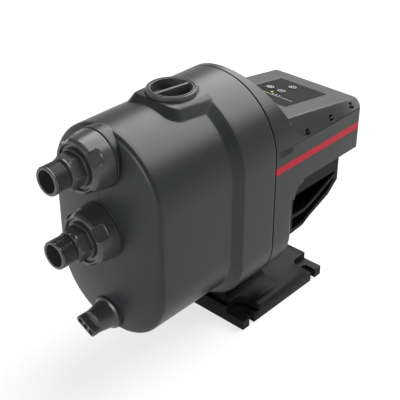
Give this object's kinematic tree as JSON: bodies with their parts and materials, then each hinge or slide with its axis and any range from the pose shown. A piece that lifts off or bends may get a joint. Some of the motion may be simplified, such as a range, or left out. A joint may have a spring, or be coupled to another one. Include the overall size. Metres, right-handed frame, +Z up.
{
  "type": "booster pump set",
  "caption": "Compact self-priming booster pump set: moulded casing with threaded pipe unions, priming and drain plugs, control box and motor on a slotted base plate.",
  "frame": {"origin": "middle of the base plate's underside, on the floor", "axes": "+X across, towards the side with the stripe; +Y from the pipe unions to the control box, along the shaft; +Z up"},
  "size_m": [0.178, 0.4504, 0.312],
  "materials": {
    "shell": "satin moulded plastic, dark grey",
    "black": "satin moulded plastic, near black",
    "union": "glass-filled plastic, dark grey",
    "plug": "satin plastic, dark grey",
    "stripe": "red moulded strip",
    "rubber": "black rubber",
    "steel": "zinc or stainless steel",
    "cast_aluminium": "die-cast aluminium",
    "laminations": "laminated steel",
    "copper": "enamelled copper winding",
    "display": "smooth overlay film, dark grey",
    "buttons": "smooth key, dark grey",
    "light": "yellow lens",
    "board": "green circuit board",
    "capacitor": "light moulded can",
    "hydraulics": "glass-filled composite, tan",
    "seal_ceramic": "ceramic and carbon",
    "tank": "painted steel"
  },
  "bodies": {
    "pump": {"pump_casing": "shell", "casing_seal": "rubber", "casing_screws": "steel", "motor_flange": "cast_aluminium", "motor_cover": "shell", "trim_stripe": "stripe", "control_lid": "shell", "lid_screws": "steel", "display_panel": "display", "status_light": "light", "control_board": "board", "board_screws": "steel", "run_capacitor": "capacitor", "cable_gland": "black", "gland_locknut": "black", "fan_cover": "black", "base_plate": "black", "base_screws": "steel", "motor_frame": "cast_aluminium", "stator_core": "laminations", "stator_windings": "copper", "rear_shield": "cast_aluminium", "front_bearing": "steel", "rear_bearing": "steel", "seal_seat": "seal_ceramic", "stage_chamber_1": "hydraulics", "stage_chamber_2": "hydraulics", "stage_chamber_3": "hydraulics", "suction_manifold": "hydraulics", "valve_seat": "hydraulics", "valve_spring": "steel", "valve_guide": "hydraulics", "tank_shell": "tank", "tank_bladder": "rubber", "pressure_sensor": "steel", "upper_gasket": "rubber", "lower_gasket": "rubber"},
    "rotor": {"shaft": "steel", "rotor_core": "laminations", "cooling_fan": "black", "impeller_1": "hydraulics", "impeller_2": "hydraulics", "impeller_3": "hydraulics", "impeller_spacers": "steel", "impeller_nut": "steel", "seal_rotor": "seal_ceramic"},
    "upper_tail": {"upper_tailpiece": "union"},
    "upper_union_nut": {"upper_nut": "union"},
    "lower_tail": {"lower_tailpiece": "union"},
    "lower_union_nut": {"lower_nut": "union"},
    "priming_ring": {"priming_seal": "rubber"},
    "priming_cap": {"priming_plug": "plug"},
    "drain_ring": {"drain_seal": "rubber"},
    "drain_cap": {"drain_plug": "union"},
    "power_key": {"button_power": "buttons"},
    "mode_key": {"button_mode": "buttons"},
    "reset_key": {"button_reset": "buttons"},
    "check_valve": {"valve_cone": "hydraulics"}
  },
  "joints": [
    {"name": "rotor_spin", "type": "hinge", "parent": "pump", "child": "rotor", "pos_m": [0, 0, 0.168], "axis": [0, 1, 0], "continuous": true},
    {"name": "upper_union_out", "type": "slide", "parent": "pump", "child": "upper_tail", "axis": [0, -1, 0], "range_m": [0, 0.0139]},
    {"name": "upper_nut_turn", "type": "hinge", "parent": "upper_tail", "child": "upper_union_nut", "pos_m": [0, -0.238, 0.27], "axis": [0, -1, 0], "range_deg": [0, 2160]},
    {"name": "lower_union_out", "type": "slide", "parent": "pump", "child": "lower_tail", "axis": [0, -1, 0], "range_m": [0, 0.0139]},
    {"name": "lower_nut_turn", "type": "hinge", "parent": "lower_tail", "child": "lower_union_nut", "pos_m": [0, -0.238, 0.18], "axis": [0, -1, 0], "range_deg": [0, 2160]},
    {"name": "priming_lift", "type": "slide", "parent": "pump", "child": "priming_ring", "axis": [0, 0, 1], "range_m": [0, 0.0121]},
    {"name": "priming_turn", "type": "hinge", "parent": "priming_ring", "child": "priming_cap", "pos_m": [0, -0.11, 0.307], "axis": [0, 0, 1], "range_deg": [0, 1440]},
    {"name": "drain_out", "type": "slide", "parent": "pump", "child": "drain_ring", "axis": [0, -1, 0], "range_m": [0, 0.0073]},
    {"name": "drain_turn", "type": "hinge", "parent": "drain_ring", "child": "drain_cap", "pos_m": [0, -0.219, 0.0646], "axis": [0, -1, 0], "range_deg": [0, 1440]},
    {"name": "power_press", "type": "slide", "parent": "pump", "child": "power_key", "axis": [0, -0.1532, -0.9882], "range_m": [0, 0.0008], "stiffness_N_per_m": 600},
    {"name": "mode_press", "type": "slide", "parent": "pump", "child": "mode_key", "axis": [0, -0.1532, -0.9882], "range_m": [0, 0.0008], "stiffness_N_per_m": 600},
    {"name": "reset_press", "type": "slide", "parent": "pump", "child": "reset_key", "axis": [0, -0.1532, -0.9882], "range_m": [0, 0.0008], "stiffness_N_per_m": 600},
    {"name": "valve_lift", "type": "slide", "parent": "pump", "child": "check_valve", "axis": [0, 1, 0], "range_m": [0, 0.012], "stiffness_N_per_m": 80, "springref_m": -0.004, "deforming": ["valve_spring"]}
  ],
  "couplings": [
    {"joint": "upper_union_out", "follows": "upper_nut_turn", "m_per_rad": 0.00036749},
    {"joint": "lower_union_out", "follows": "lower_nut_turn", "m_per_rad": 0.00036749},
    {"joint": "priming_lift", "follows": "priming_turn", "m_per_rad": 0.00047746},
    {"joint": "drain_out", "follows": "drain_turn", "m_per_rad": 0.00028871}
  ]
}
